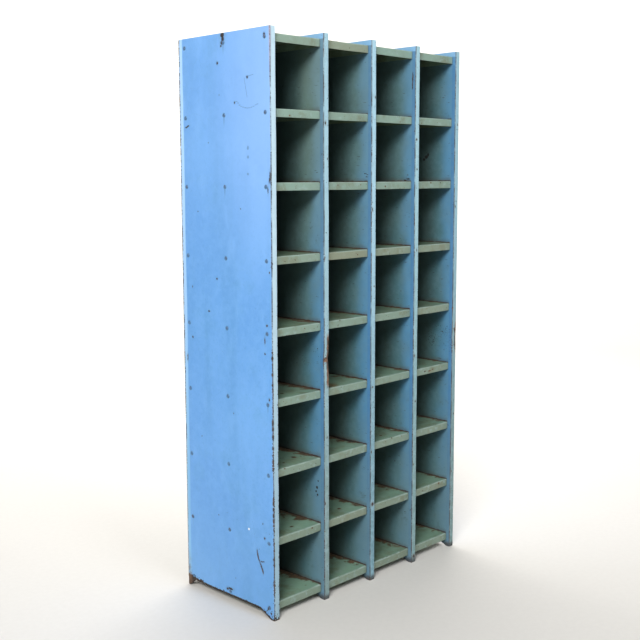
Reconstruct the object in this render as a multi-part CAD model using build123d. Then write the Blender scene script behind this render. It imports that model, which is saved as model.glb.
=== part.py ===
from build123d import *
import math
import os

# Open-front pigeonhole mail sorter in folded sheet steel: five full-height
# uprights, four bays of shelf pans riveted between them, and a sheet back.
# Millimetres. +Z is up, the front faces -Y, and the origin is the centre of the
# bounding box in plan, at floor level.

# ---------------------------------------------------------------- dimensions
height = 1600.0          # floor to the top of the uprights
depth = 380.0            # front face to the outside of the back sheet
bay_pitch = 200.0        # upright to upright
bays = 4
tier_pitch = 192.6       # shelf to shelf, on average
tiers = 8
tier_drop = [0, 9.0, 8.5, 5.5, 5.0, 2.75, 0, 0, 0]   # each shelf's distance below equal spacing
sheet = 1.2              # sheet thickness throughout

edge_width = 20.0        # front face of an upright, seen from the front
edge_depth = 13.0        # how far the folded front edge goes back
seam_gap = 0.6           # gap between the front edge's inner return and the web
flange_width = 20.0      # rear flange of an upright
bend_inside = 0.8        # inside bend radius

foot_rise = 23.0         # underside of the bottom shelf's lip above the floor
foot_toe = 8.0           # flat length of a foot under the web
front_foot_run = 60.0    # where the web's lower edge reaches full rise, front
rear_foot_run = 40.0     # the same, measured forward from the rear

lip = 21.6               # height of a shelf pan's turned-down flanges
pan_bend = 2.0           # outside bend radius of a pan
notch_x = 6.0            # relief at a pan's two rear corners
notch_y = 14.0

bevel_run = 14.0         # the left side panel's rear edge is set inwards
bevel_in = 4.0

rivet_head_d = 10.0
rivet_head_h = 2.4
rivet_shank_d = 5.0
rivet_tail_d = 8.0
rivet_tail_h = 1.6
rivet_front = 20.0       # rivet rows, from the front face
rivet_mid = 183.0
rivet_rear = 348.0
back_rivet_inset = 12.0  # back-sheet rivets, from an upright's left face

# ---------------------------------------------------------------- derived
width = bays * bay_pitch + edge_width
back_inner = depth - sheet                 # the rear flanges' outside
pan_rear = back_inner - sheet              # a pan's rear face
pan_front = edge_depth
shelf_tops = [foot_rise + lip + k * tier_pitch - tier_drop[k] for k in range(tiers + 1)]
rivet_z = [z - lip / 2 for z in shelf_tops]
rivet_y = [rivet_front, rivet_mid, rivet_rear]

# plan centre of everything, rivet heads included
shift_x = -(width - rivet_head_h) / 2
shift_y = -(depth + rivet_head_h) / 2
to_frame = Location((shift_x, shift_y, 0))

os.makedirs("parts", exist_ok=True)


# ---------------------------------------------------------------- helpers
def strip_face(points, t, inside):
    """Plan section of a folded sheet of thickness t along a centre line."""
    rc = inside + t / 2
    pts = [Vector(x, y, 0) for x, y in points]
    runs, arcs = [], []
    start = pts[0]
    for i in range(1, len(pts) - 1):
        a = (pts[i] - pts[i - 1]).normalized()
        b = (pts[i + 1] - pts[i]).normalized()
        turn = a.X * b.Y - a.Y * b.X
        theta = math.acos(max(-1.0, min(1.0, a.dot(b))))
        tl = rc * math.tan(theta / 2)
        p_in, p_out = pts[i] - a * tl, pts[i] + b * tl
        sgn = 1 if turn > 0 else -1
        n = Vector(-a.Y, a.X, 0) * sgn
        centre = p_in + n * rc
        mid_dir = ((p_in - centre) + (p_out - centre)).normalized()
        runs.append((start, p_in))
        arcs.append((centre, mid_dir, sgn, a, b))
        start = p_out
    runs.append((start, pts[-1]))

    def side(s):
        edges = []
        for k, (p, q) in enumerate(runs):
            d = (q - p).normalized()
            n = Vector(-d.Y, d.X, 0) * (s * t / 2)
            edges.append((p + n, q + n, None))
            if k < len(arcs):
                centre, mid_dir, sgn, a, b = arcs[k]
                r = rc - s * sgn * t / 2
                p2 = runs[k + 1][0]
                d2 = (runs[k + 1][1] - p2).normalized()
                n2 = Vector(-d2.Y, d2.X, 0) * (s * t / 2)
                edges.append((q + n, p2 + n2, centre + mid_dir * r))
        return edges

    left, right = side(1), side(-1)
    out = []
    for p, q, m in left:
        out.append(Edge.make_line(p, q) if m is None else Edge.make_three_point_arc(p, m, q))
    out.append(Edge.make_line(left[-1][1], right[-1][1]))
    for p, q, m in reversed(right):
        out.append(Edge.make_line(q, p) if m is None else Edge.make_three_point_arc(q, m, p))
    out.append(Edge.make_line(right[0][0], left[0][0]))
    return Face(Wire(out))


def prism_x(points_yz, x0, x1):
    """Solid with a Y-Z outline, running along X."""
    pts = [Vector(x0, y, z) for y, z in points_yz]
    wire = Wire([Edge.make_line(pts[i], pts[(i + 1) % len(pts)]) for i in range(len(pts))])
    return Solid.extrude(Face(wire), Vector(x1 - x0, 0, 0))


def cyl_x(x0, x1, y, z, d):
    plane = Plane(origin=(x0, y, z), x_dir=(0, 1, 0), z_dir=(1, 0, 0))
    return Solid.make_cylinder(d / 2, x1 - x0, plane)


def cyl_y(y0, y1, x, z, d):
    plane = Plane(origin=(x, y0, z), x_dir=(1, 0, 0), z_dir=(0, 1, 0))
    return Solid.make_cylinder(d / 2, y1 - y0, plane)


def rivet(grip):
    """Domed rivet on the Z axis: head below z=0, closed end above z=grip."""
    r_head, r_shank, r_tail = rivet_head_d / 2, rivet_shank_d / 2, rivet_tail_d / 2
    sphere_r = (r_head ** 2 + rivet_head_h ** 2) / (2 * rivet_head_h)
    a = math.asin(r_head / sphere_r) / 2
    mid = Vector(sphere_r * math.sin(a), 0, -rivet_head_h + sphere_r * (1 - math.cos(a)))
    pts = dict(
        tip=Vector(0, 0, -rivet_head_h), rim=Vector(r_head, 0, 0), neck=Vector(r_shank, 0, 0),
        out=Vector(r_shank, 0, grip), t1=Vector(r_tail, 0, grip),
        t2=Vector(r_tail * 0.82, 0, grip + rivet_tail_h), end=Vector(0, 0, grip + rivet_tail_h))
    wire = Wire([
        Edge.make_three_point_arc(pts["tip"], mid, pts["rim"]),
        Edge.make_line(pts["rim"], pts["neck"]),
        Edge.make_line(pts["neck"], pts["out"]),
        Edge.make_line(pts["out"], pts["t1"]),
        Edge.make_line(pts["t1"], pts["t2"]),
        Edge.make_line(pts["t2"], pts["end"]),
        Edge.make_line(pts["end"], pts["tip"]),
    ])
    return Solid.revolve(Face(wire), 360, Axis.Z)


def place_rivet(solid, origin, direction):
    """Put a rivet so that its shank leaves origin along direction."""
    x_dir = (0, 0, 1) if abs(direction[2]) < 0.5 else (1, 0, 0)
    return solid.moved(Location(Plane(origin=origin, x_dir=x_dir, z_dir=direction)))


def save(name, shape):
    shape = shape.moved(to_frame)
    shape.label = name
    export_step(shape, f"parts/{name}.step")
    b = shape.bounding_box()
    print(f"{name:28s} {b.min.X:9.2f} {b.min.Y:9.2f} {b.min.Z:9.2f}   {b.max.X:9.2f} {b.max.Y:9.2f} {b.max.Z:9.2f}  solids {len(shape.solids())}")


# ---------------------------------------------------------------- uprights
def upright(bevelled):
    """One folded upright with its left face at x=0."""
    h = sheet / 2
    path = [
        (sheet + seam_gap, edge_depth - h),        # free end of the inner return
        (edge_width - h, edge_depth - h),
        (edge_width - h, h),
        (h, h),                                    # front left corner
    ]
    if bevelled:
        path += [
            (h, depth - bevel_run),
            (h + bevel_in, back_inner - h),
            (bevel_in + flange_width, back_inner - h),
        ]
    else:
        path += [(h, back_inner - h), (flange_width, back_inner - h)]
    body = Solid.extrude(strip_face(path, sheet, bend_inside), Vector(0, 0, height))

    # lower edge of the web, cut up between a front and a rear foot
    cut = prism_x([
        (foot_toe + edge_depth - 8.0, -1.0),
        (foot_toe + edge_depth - 8.0, 0.0),
        (front_foot_run, foot_rise - 1.0),
        (back_inner - rear_foot_run, foot_rise - 1.0),
        (back_inner - foot_toe, 0.0),
        (back_inner - foot_toe, -1.0),
    ], -1.0, sheet + 0.2)
    body = body - cut

    # rivet holes at every shelf, and for the back sheet
    for z in rivet_z:
        for y in rivet_y:
            body = body - cyl_x(-1.0, sheet + 0.5, y, z, rivet_shank_d)
        x = back_rivet_inset
        body = body - cyl_y(back_inner - sheet - 0.5, back_inner + 0.5, x, z, rivet_shank_d)
    return body.solids()[0] if len(body.solids()) == 1 else body


upright_names = ["left_side_panel", "partition_1", "partition_2", "partition_3", "right_side_panel"]
upright_left = [i * bay_pitch for i in range(bays + 1)]
plain_upright = upright(False)
for name, x in zip(upright_names, upright_left):
    shape = upright(True) if name == "left_side_panel" else plain_upright
    save(name, shape.moved(Location((x, 0, 0))))


# ---------------------------------------------------------------- shelf pans
def shelf_pan():
    """Pan with its left edge at x=0, its lip at y=0 and its top at z=0."""
    w = bay_pitch - sheet
    d = pan_rear - pan_front
    outer = Solid.make_box(w, d, lip, Plane(origin=(0, 0, -lip)))
    rim = [e for e in outer.edges() if e.center().Z > -0.01]
    corners = [e for e in outer.edges() if e.center().Y < 0.01 and abs(e.center().Z + lip / 2) < 0.01]
    outer = outer.fillet(pan_bend, rim + corners)
    inner = Solid.make_box(w - 2 * sheet, d - 2 * sheet, lip, Plane(origin=(sheet, sheet, -lip - sheet)))
    rim = [e for e in inner.edges() if abs(e.center().Z + sheet) < 0.01]
    corners = [e for e in inner.edges() if abs(e.center().Y - sheet) < 0.01
               and abs(e.center().Z + sheet + lip / 2) < 0.01]
    inner = inner.fillet(pan_bend - sheet, rim + corners)
    pan = outer - inner
    for x in (-1.0, w - notch_x):
        pan = pan - Solid.make_box(notch_x + 1.0, notch_y + 1.0, lip + 2.0,
                                   Plane(origin=(x, d - notch_y, -lip - 1.0)))
    for y in rivet_y:
        pan = pan - cyl_x(-1.0, sheet + 0.5, y - pan_front, -lip / 2, rivet_shank_d)
        pan = pan - cyl_x(w - sheet - 0.5, w + 1.0, y - pan_front, -lip / 2, rivet_shank_d)
    return pan.solids()[0]


pan = shelf_pan()
for c in range(bays):
    for k, z in enumerate(shelf_tops):
        save(f"shelf_pan_bay{c + 1}_tier{k}", pan.moved(Location((upright_left[c] + sheet, pan_front, z))))

# ---------------------------------------------------------------- back sheet
x_left = bevel_in + 0.6
back = Solid.make_box(width - x_left, sheet, height - foot_rise - 2.0,
                      Plane(origin=(x_left, back_inner, foot_rise)))
for x in upright_left:
    for z in rivet_z:
        back = back - cyl_y(back_inner - 0.5, depth + 0.5, x + back_rivet_inset, z, rivet_shank_d)
save("back_panel", back.solids()[0])

# ---------------------------------------------------------------- rivets
grip2, grip3 = rivet(2 * sheet), rivet(3 * sheet)

heads_left = [place_rivet(grip2, (0, y, z), (1, 0, 0)) for z in rivet_z for y in rivet_y]
save("rivets_left_side_panel", Compound(children=heads_left))
for i in (1, 2, 3):
    x = upright_left[i]
    group = [place_rivet(grip3, (x - sheet, y, z), (1, 0, 0)) for z in rivet_z for y in rivet_y]
    save(f"rivets_partition_{i}", Compound(children=group))
x = upright_left[4]
group = [place_rivet(grip2, (x + sheet, y, z), (-1, 0, 0)) for z in rivet_z for y in rivet_y]
save("rivets_right_side_panel", Compound(children=group))
group = [place_rivet(grip2, (x + back_rivet_inset, depth, z), (0, -1, 0)) for x in upright_left for z in rivet_z]
save("rivets_back_panel", Compound(children=group))
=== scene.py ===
import bpy
import bmesh
import math
import numpy as np
from mathutils import Matrix, Vector


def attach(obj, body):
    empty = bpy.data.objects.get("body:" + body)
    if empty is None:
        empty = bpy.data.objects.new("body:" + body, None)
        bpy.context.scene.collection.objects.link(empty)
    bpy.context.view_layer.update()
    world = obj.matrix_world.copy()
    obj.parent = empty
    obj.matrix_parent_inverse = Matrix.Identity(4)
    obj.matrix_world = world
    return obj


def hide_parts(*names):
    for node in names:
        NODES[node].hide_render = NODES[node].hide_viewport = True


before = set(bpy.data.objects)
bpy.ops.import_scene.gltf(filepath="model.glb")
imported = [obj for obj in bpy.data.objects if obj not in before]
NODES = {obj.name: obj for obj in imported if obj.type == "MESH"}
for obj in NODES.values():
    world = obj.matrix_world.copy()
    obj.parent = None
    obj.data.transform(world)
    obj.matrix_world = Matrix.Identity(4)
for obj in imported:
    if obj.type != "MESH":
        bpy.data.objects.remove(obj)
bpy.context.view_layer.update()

# ------------------------------------------------------------------ dimensions, metres, row frame
SX, SY = -0.4088, -0.1912            # left face of the left upright, front plane
PITCH, DEPTH, HEIGHT, T = 0.2, 0.38, 1.6, 0.0012
TIER, TOP0, LIP = 0.1926, 0.0446, 0.0216
DROP = (0.0, 0.0090, 0.0085, 0.0055, 0.0050, 0.00275, 0.0, 0.0, 0.0)   # each shelf below equal spacing
TOPS = [TOP0 + k * TIER - DROP[k] for k in range(9)]
RIVET_Y = (0.020, 0.183, 0.348)
UPRIGHTS = ["left_side_panel", "partition_1", "partition_2", "partition_3", "right_side_panel"]
rng = np.random.default_rng(22)


def waves(seed, n, lo, hi):
    """Smooth seeded 1-D function made of a few sines, about -1 to 1."""
    r = np.random.default_rng(seed)
    f, p, a = r.uniform(lo, hi, n), r.uniform(0, 6.283, n), r.uniform(0.5, 1.0, n)
    return lambda t: sum(a[i] * np.sin(6.283 * f[i] * t + p[i]) for i in range(n)) / a.sum() * 1.4


def even(z):
    """Height with the shelves moved to equal spacing."""
    return z + np.interp(z, TOPS, DROP)


def finish_mesh(me, angle=35):
    me.shade_smooth()
    me.set_sharp_from_angle(angle=math.radians(angle))


def put_attr(me, name, values):
    a = me.attributes.new(name, "FLOAT", "POINT")
    a.data.foreach_set("value", np.asarray(values, dtype=np.float32))


# ------------------------------------------------------------------ node helpers
class G:
    """Small builder for shader trees."""

    def __init__(self, name):
        self.mat = bpy.data.materials.new(name)
        self.mat.use_nodes = True
        self.nt = self.mat.node_tree
        self.nt.nodes.clear()
        self.tc = self.nt.nodes.new("ShaderNodeTexCoord")
        self.P = self.tc.outputs["Object"]

    def node(self, kind, **kw):
        n = self.nt.nodes.new(kind)
        for k, v in kw.items():
            setattr(n, k, v)
        return n

    def put(self, socket, v):
        if isinstance(v, bpy.types.NodeSocket):
            self.nt.links.new(v, socket)
        elif isinstance(v, (tuple, list)) and len(v) == 3 and socket.type == "RGBA":
            socket.default_value = (*v, 1.0)
        else:
            socket.default_value = v

    def m(self, op, a, b=None, c=None, clamp=False):
        n = self.node("ShaderNodeMath", operation=op, use_clamp=clamp)
        for i, v in enumerate((a, b, c)):
            if v is not None:
                self.put(n.inputs[i], v)
        return n.outputs[0]

    def v(self, op, a, b=None, c=None, out=0):
        n = self.node("ShaderNodeVectorMath", operation=op)
        for i, x in enumerate((a, b, c)):
            if x is not None:
                self.put(n.inputs[i], x)
        return n.outputs[out]

    def xyz(self, vec):
        n = self.node("ShaderNodeSeparateXYZ")
        self.put(n.inputs[0], vec)
        return n.outputs

    def combine(self, x, y, z):
        n = self.node("ShaderNodeCombineXYZ")
        for i, a in enumerate((x, y, z)):
            self.put(n.inputs[i], a)
        return n.outputs[0]

    def attr(self, name):
        return self.node("ShaderNodeAttribute", attribute_type="GEOMETRY", attribute_name=name).outputs["Fac"]

    def noise(self, scale, detail=3.0, rough=0.55, vec=None, color=False, stretch=None, distort=0.0):
        vec = self.P if vec is None else vec
        if stretch is not None:
            vec = self.v("MULTIPLY", vec, stretch)
        n = self.node("ShaderNodeTexNoise", noise_dimensions="3D")
        self.put(n.inputs["Vector"], vec)
        n.inputs["Scale"].default_value = scale
        n.inputs["Detail"].default_value = detail
        n.inputs["Roughness"].default_value = rough
        n.inputs["Distortion"].default_value = distort
        return n.outputs["Color" if color else "Fac"]

    def step(self, x, a, b, lo=0.0, hi=1.0, soft=True):
        """lo at x<=a, hi at x>=b, and a may be larger than b."""
        n = self.node("ShaderNodeMapRange", clamp=True,
                      interpolation_type="SMOOTHSTEP" if soft else "LINEAR")
        self.put(n.inputs["Value"], x)
        self.put(n.inputs["From Min"], a)
        self.put(n.inputs["From Max"], b)
        self.put(n.inputs["To Min"], lo)
        self.put(n.inputs["To Max"], hi)
        return n.outputs["Result"]

    def even(self, z):
        """The same as even() above, in shader nodes."""
        out = z
        for k in range(8):
            d = DROP[k + 1] - DROP[k]
            if abs(d) > 1e-9:
                out = self.m("ADD", out, self.step(z, TOPS[k], TOPS[k + 1], 0.0, d, soft=False))
        return out

    def mix(self, fac, a, b):
        n = self.node("ShaderNodeMix", data_type="RGBA", clamp_factor=True)
        self.put(n.inputs[0], fac)
        self.put(n.inputs[6], a)
        self.put(n.inputs[7], b)
        return n.outputs[2]

    def scale_color(self, col, f):
        n = self.node("ShaderNodeVectorMath", operation="SCALE")
        if isinstance(col, (tuple, list)):
            n.inputs[0].default_value = col
        else:
            self.put(n.inputs[0], col)
        self.put(n.inputs[3], f)
        return n.outputs[0]

    def spots(self, items, warp=0.0022):
        """Nearest of several ellipsoids (x, y, z, rx, ry, rz), as a ratio that is 1 on their surface."""
        w = self.noise(260.0, 2.0, 0.6, color=True)
        w = self.v("SUBTRACT", w, (0.5, 0.5, 0.5))
        vec = self.v("MULTIPLY_ADD", w, (warp * 2,) * 3, self.P)
        out = None
        for x, y, z, rx, ry, rz in items:
            s = (1 / rx, 1 / ry, 1 / rz)
            d = self.v("MULTIPLY_ADD", vec, s, (-x * s[0], -y * s[1], -z * s[2]))
            n = self.v("LENGTH", d, out=1)
            out = n if out is None else self.m("MINIMUM", out, n)
        return out

    def surface(self, color, rough, bump, bump_strength=0.25, distance=0.001, metallic=0.0,
                specular=0.5, coat=0.0):
        b = self.node("ShaderNodeBsdfPrincipled")
        self.put(b.inputs["Base Color"], color)
        self.put(b.inputs["Roughness"], rough)
        b.inputs["Metallic"].default_value = metallic
        b.inputs["IOR"].default_value = 1.5
        b.inputs["Specular IOR Level"].default_value = specular
        b.inputs["Coat Weight"].default_value = coat
        b.inputs["Coat Roughness"].default_value = 0.2
        bp = self.node("ShaderNodeBump")
        bp.inputs["Strength"].default_value = bump_strength
        bp.inputs["Distance"].default_value = distance
        self.put(bp.inputs["Height"], bump)
        self.nt.links.new(bp.outputs[0], b.inputs["Normal"])
        o = self.node("ShaderNodeOutputMaterial")
        self.nt.links.new(b.outputs[0], o.inputs["Surface"])
        return self.mat


# paints, linear; tuned against the light below
BLUE = (0.136, 0.358, 0.735)
BLUE_DEEP = (0.104, 0.305, 0.670)
# the two pale paints are a lit high copy and a shaded low copy of one front paint: painted light from above
PALE = (0.325, 0.520, 0.625)
SHADED_PALE_LOW = (0.18, 0.275, 0.275)
# the web paints step darker from the front inward, partly as painted shade
WEB_IN = (0.084, 0.245, 0.42)
WEB_MID = (0.062, 0.152, 0.185)
WEB_GREEN = (0.130, 0.190, 0.150)
GREEN = (0.168, 0.286, 0.208)
GREEN_LIP = (0.216, 0.340, 0.292)
RUST = (0.105, 0.040, 0.016)
RUST_DARK = (0.030, 0.017, 0.010)
BARE = (0.055, 0.050, 0.055)
# darkening for the insides toward the back: painted shade with some grime
GRIME_AND_SHADE = (0.030, 0.028, 0.022)


def fabric_of_wear(g, chips_d, edge_d, edge_low=0.42, edge_reach=0.005):
    """Chip mask from explicit spots and from a fold line, both with ragged outlines."""
    n1 = g.noise(230.0, 4.0, 0.62)
    n2 = g.noise(38.0, 2.0, 0.5)
    thr = g.step(edge_d, 0.0, edge_reach, edge_low, 0.86, soft=False)
    thr = g.m("ADD", thr, g.m("MULTIPLY", g.m("SUBTRACT", n2, 0.5), -0.45))
    edge = g.step(g.m("SUBTRACT", n1, thr), -0.01, 0.025)
    if chips_d is None:
        return edge, edge
    chip = g.step(chips_d, 1.12, 0.82)
    return g.m("MAXIMUM", edge, chip), chip


# ------------------------------------------------------------------ materials
def side_material():
    g = G("left_panel_enamel")
    X, Y, Z = g.xyz(g.P)
    ly = g.m("SUBTRACT", Y, SY)
    big = g.noise(2.6, 3.0, 0.5)
    bands = g.noise(1.0, 3.0, 0.5, stretch=(14.0, 14.0, 1.6))
    fine = g.noise(55.0, 5.0, 0.6)
    col = g.mix(g.step(big, 0.35, 0.68), BLUE_DEEP, BLUE)
    col = g.mix(g.step(bands, 0.42, 0.68, 0.0, 0.55), col, (0.088, 0.275, 0.585))
    col = g.mix(g.step(g.noise(11.0, 5.0, 0.62), 0.50, 0.72, 0.0, 0.42), col, (0.092, 0.285, 0.56))
    col = g.mix(g.step(g.noise(17.0, 4.0, 0.6, stretch=(1, 1, 0.4)), 0.54, 0.74, 0.0, 0.35), col, (0.19, 0.43, 0.80))
    col = g.mix(g.step(fine, 0.3, 0.8, 0.0, 0.34), col, (0.185, 0.42, 0.80))
    col = g.mix(g.step(g.noise(150.0, 3.0, 0.6), 0.52, 0.72, 0.0, 0.24), col, (0.075, 0.24, 0.50))
    # painted light from above: lighter toward the top front, and painted shade making it darker low down
    top_front_light = g.m("MULTIPLY", g.step(Z, 0.75, 1.45), g.step(ly, 0.30, 0.0, 0.25, 1.0))
    col = g.mix(g.m("MULTIPLY", top_front_light, 0.58), col, (0.285, 0.465, 0.85))
    col = g.mix(g.step(Z, 0.40, 0.02, 0.0, 0.30), col, (0.135, 0.33, 0.60))
    # paler paint along the rear flange, painted lighter toward the top as light from above
    strip = g.step(g.m("ADD", ly, g.m("MULTIPLY", g.m("SUBTRACT", bands, 0.5), 0.010)), 0.3555, 0.3610)
    strip_col = g.mix(g.step(Z, 0.2, 1.25), (0.200, 0.455, 0.735), (0.38, 0.62, 0.97))
    col = g.mix(g.m("MULTIPLY", strip, 0.95), col, strip_col)
    # the folded front face is much paler than the broad side, and is painted darker low down and lighter up high as
    # light from above
    boxy = g.attr("boxy")
    front_face = g.m("MAXIMUM", g.step(ly, 0.0015, 0.0008), g.step(boxy, 0.4, 0.6))
    pale = g.mix(g.step(Z, 0.15, 1.1), (0.27, 0.43, 0.54), (0.47, 0.64, 0.75))
    pale = g.mix(g.step(fine, 0.4, 0.75, 0.0, 0.4), pale, (0.36, 0.52, 0.63))
    col = g.mix(front_face, col, pale)
    # wear
    spots = [
        # top edge and upper field: y, z
        (186, 1594, 8.0, 7), (184, 1584, 5.5, 8), (188, 1574, 5.0, 5.0), (192, 1566, 3.0, 3.0), (208, 1522, 3.6, 3.6), (88, 1476, 3.4, 3.4),
        (139, 1413, 2.6, 2.6), (346, 1355.5, 4.0, 1.8), (341, 1357.5, 4.0, 1.8), (336, 1359.5, 4.0, 1.8), (21, 1580, 3.6, 4.2),
        (4, 1215, 2.0, 14), (7, 1205, 1.6, 8),
        (222, 934, 3.0, 2.4), (259, 840, 3.4, 2.4), (333, 758, 3.0, 3.2), (358, 696, 2.0, 10),
        (20, 821, 3.4, 3.0), (29, 779, 1.8, 9.0), (29, 744, 2.6, 2.6), (37, 228, 3.0, 3.0),
        (12, 1180, 1.6, 9.0), (9, 964, 2.2, 3.0), (14, 620, 2.4, 4.0),
        (120, 1130, 1.6, 1.6), (250, 1310, 1.6, 1.6), (300, 1120, 1.8, 1.4), (160, 560, 1.6, 1.8),
        (300, 470, 1.6, 1.6), (230, 250, 1.8, 1.5), (44, 268, 2.0, 1.8), (330, 905, 1.8, 2.6),
        (183, 41, 10.0, 3.6), (196, 37, 5.0, 3.0), (348, 26, 9.0, 5.0), (24, 30, 3.5, 4.5),
    ]
    items = [(SX, SY + y / 1000, z / 1000, 0.004, ry / 1000, rz / 1000) for y, z, ry, rz in spots]
    for z, h in ((0.560, 0.010), (0.542, 0.007), (0.520, 0.008), (0.488, 0.004), (0.452, 0.005), (0.432, 0.003),
                 (0.336, 0.008), (0.318, 0.006), (0.300, 0.007), (0.288, 0.004), (0.176, 0.005), (0.160, 0.003),
                 (0.662, 0.004), (0.690, 0.005), (0.735, 0.006), (0.104, 0.003)):
        items.append((SX + 0.0004, SY + 0.0012, z, 0.0030, 0.0034, h))
    # a Y-shaped scratch low at the front and a curved one near the top
    for k in range(13):
        t = k / 12
        items.append((SX, SY + (0.0685 - 0.022 * t + 0.002 * math.sin(5 * t)), 0.184 - 0.056 * t, 0.004, 0.0017 + 0.0006 * math.sin(9 * t), 0.0050))
    items += [(SX, SY + 0.050, 0.158, 0.004, 0.0055, 0.0018), (SX, SY + 0.0425, 0.160, 0.004, 0.003, 0.0014)]
    arc_pts = [(131, 1415.5), (125, 1411), (119, 1405.5), (112, 1401.5), (104, 1399), (96, 1397), (88, 1396),
               (80, 1396), (72, 1397.5), (64, 1399.5), (56, 1402.5), (49, 1404.5)]
    arc = [(SX, SY + y / 1000, z / 1000, 0.004, 0.0048, 0.0013) for y, z in arc_pts]
    arc += [(SX, SY + (0.099 - 0.0016 * k), 1.4720 - 0.0075 * k, 0.004, 0.0011, 0.0052) for k in range(7)]
    arc += [(SX, SY + 0.202, 1.437, 0.004, 0.0026, 0.0028), (SX, SY + 0.088, 1.292, 0.004, 0.004, 0.0060), (SX, SY + 0.088, 1.268, 0.004, 0.0046, 0.0044), (SX, SY + 0.089, 1.223, 0.004, 0.0042, 0.0036)]
    arc += [(SX, SY + (0.083 - 0.008 * k), 1.4785 + 0.0014 * k, 0.004, 0.005, 0.0012) for k in range(3)]
    faint = g.step(g.spots(arc, 0.0012), 1.25, 0.6, 0.0, 0.55)
    d_spots = g.spots(items)
    fold = g.attr("fold")                       # distance to the front left fold, along the sheet
    rear = g.m("SUBTRACT", 0.3755, ly)           # distance to the rear silhouette
    edge_front, _ = fabric_of_wear(g, None, fold, 0.50, 0.0030)
    low = g.step(Z, 1.05, 0.50, -0.085, 0.020)
    n1 = g.noise(210.0, 4.0, 0.6)
    n3 = g.noise(26.0, 2.0, 0.5)
    # extra clusters on the front fold at three heights
    clus = None
    for zc, h in ((0.735, 0.05), (0.24, 0.075), (0.10, 0.03), (1.50, 0.03), (1.20, 0.025), (0.98, 0.02)):
        c = g.step(g.m("ABSOLUTE", g.m("SUBTRACT", Z, zc)), h, 0.0, 0.0, 1.0)
        clus = c if clus is None else g.m("MAXIMUM", clus, c)
    thr = g.step(fold, 0.0, 0.0065, 0.505, 0.82, soft=False)
    thr = g.m("SUBTRACT", thr, g.m("ADD", low, g.m("MULTIPLY", clus, 0.085)))
    thr = g.m("SUBTRACT", thr, g.m("MULTIPLY", g.m("SUBTRACT", n3, 0.5), 0.42))
    front_chip = g.step(g.m("SUBTRACT", n1, thr), -0.01, 0.03)
    fold2 = g.attr("fold2")
    thr_f = g.step(fold2, 0.0, 0.0055, 0.50, 0.84, soft=False)
    thr_f = g.m("SUBTRACT", thr_f, g.m("ADD", g.step(Z, 1.00, 0.50, -0.10, 0.02), g.m("MULTIPLY", g.m("SUBTRACT", n3, 0.5), 0.45)))
    front_chip = g.m("MAXIMUM", front_chip, g.step(g.m("SUBTRACT", n1, thr_f), -0.01, 0.03))
    thr_r = g.step(g.m("ABSOLUTE", rear), 0.0, 0.007, 0.44, 0.84, soft=False)
    thr_r = g.m("SUBTRACT", thr_r, g.m("MULTIPLY", g.m("SUBTRACT", n3, 0.5), 0.55))
    rear_chip = g.step(g.m("SUBTRACT", n1, thr_r), -0.01, 0.03)
    rear_chip = g.m("MULTIPLY", rear_chip, g.step(Z, 0.30, 0.62, 0.35, 1.0))
    chip = g.m("MAXIMUM", g.step(d_spots, 1.15, 0.80), g.m("MAXIMUM", front_chip, rear_chip))
    chip = g.m("MAXIMUM", chip, g.m("MULTIPLY", edge_front, 0.7))
    # lower edge of the sheet: worn and rusty, more at the rear foot
    foot = g.m("ADD", g.step(Z, 0.040, 0.020, 0.0, 0.26), g.m("MULTIPLY", g.step(ly, 0.27, 0.36), g.step(Z, 0.060, 0.014, 0.0, 0.42)))
    foot = g.m("ADD", foot, g.step(g.m("SUBTRACT", Z, g.step(ly, 0.008, 0.058, 0.0, 0.022, soft=False)), 0.0060, 0.0015, 0.0, 0.22))
    foot_chip = g.step(g.m("SUBTRACT", g.noise(120.0, 4.0, 0.6), g.m("SUBTRACT", 0.80, foot)), -0.01, 0.05)
    chip = g.m("MAXIMUM", chip, foot_chip)
    # grime ring and runs around each rivet, heavier below the head as a painted shadow
    zr = g.m("SUBTRACT", g.m("FLOORED_MODULO", g.m("ADD", g.even(Z), TIER / 2 - (TOP0 - LIP / 2)), TIER), TIER / 2)
    ring, run = None, None
    for ry in RIVET_Y:
        dy = g.m("SUBTRACT", ly, ry)
        d = g.m("SQRT", g.m("ADD", g.m("MULTIPLY", dy, dy), g.m("MULTIPLY", zr, zr)))
        ring = d if ring is None else g.m("MINIMUM", ring, d)
        a = g.m("ABSOLUTE", dy)
        run = a if run is None else g.m("MINIMUM", run, a)
    rn = g.noise(90.0, 3.0, 0.6)
    shadow_below = g.step(zr, 0.004, -0.003, 0.35, 1.0)
    grime_and_shadow = g.m("MULTIPLY", g.step(g.m("ADD", ring, g.m("MULTIPLY", rn, -0.004)), 0.0058, 0.0030, 0.0, 0.88), shadow_below)
    drip = g.m("MULTIPLY", g.step(run, 0.0040, 0.0008), g.m("MULTIPLY", g.step(zr, -0.038, -0.006), g.step(zr, 0.0, -0.004)))
    drip = g.m("MULTIPLY", drip, g.step(g.noise(7.0, 2.0), 0.48, 0.66, 0.0, 0.42))
    col = g.mix(g.m("MAXIMUM", grime_and_shadow, drip), col, (0.05, 0.13, 0.20))
    # soft dirt halo round the larger chips, faint scratches
    col = g.mix(g.step(d_spots, 2.6, 1.0, 0.0, 0.30), col, (0.09, 0.20, 0.30))
    col = g.mix(faint, col, (0.06, 0.15, 0.26))
    sc = g.node("ShaderNodeTexVoronoi", feature="DISTANCE_TO_EDGE", voronoi_dimensions="3D")
    g.put(sc.inputs["Vector"], g.v("MULTIPLY", g.P, (9.0, 9.0, 5.0)))
    line = g.m("MULTIPLY", g.step(sc.outputs["Distance"], 0.010, 0.002), g.step(g.noise(6.0, 2.0), 0.56, 0.66, 0.0, 0.32))
    col = g.mix(line, col, (0.10, 0.24, 0.42))
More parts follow.
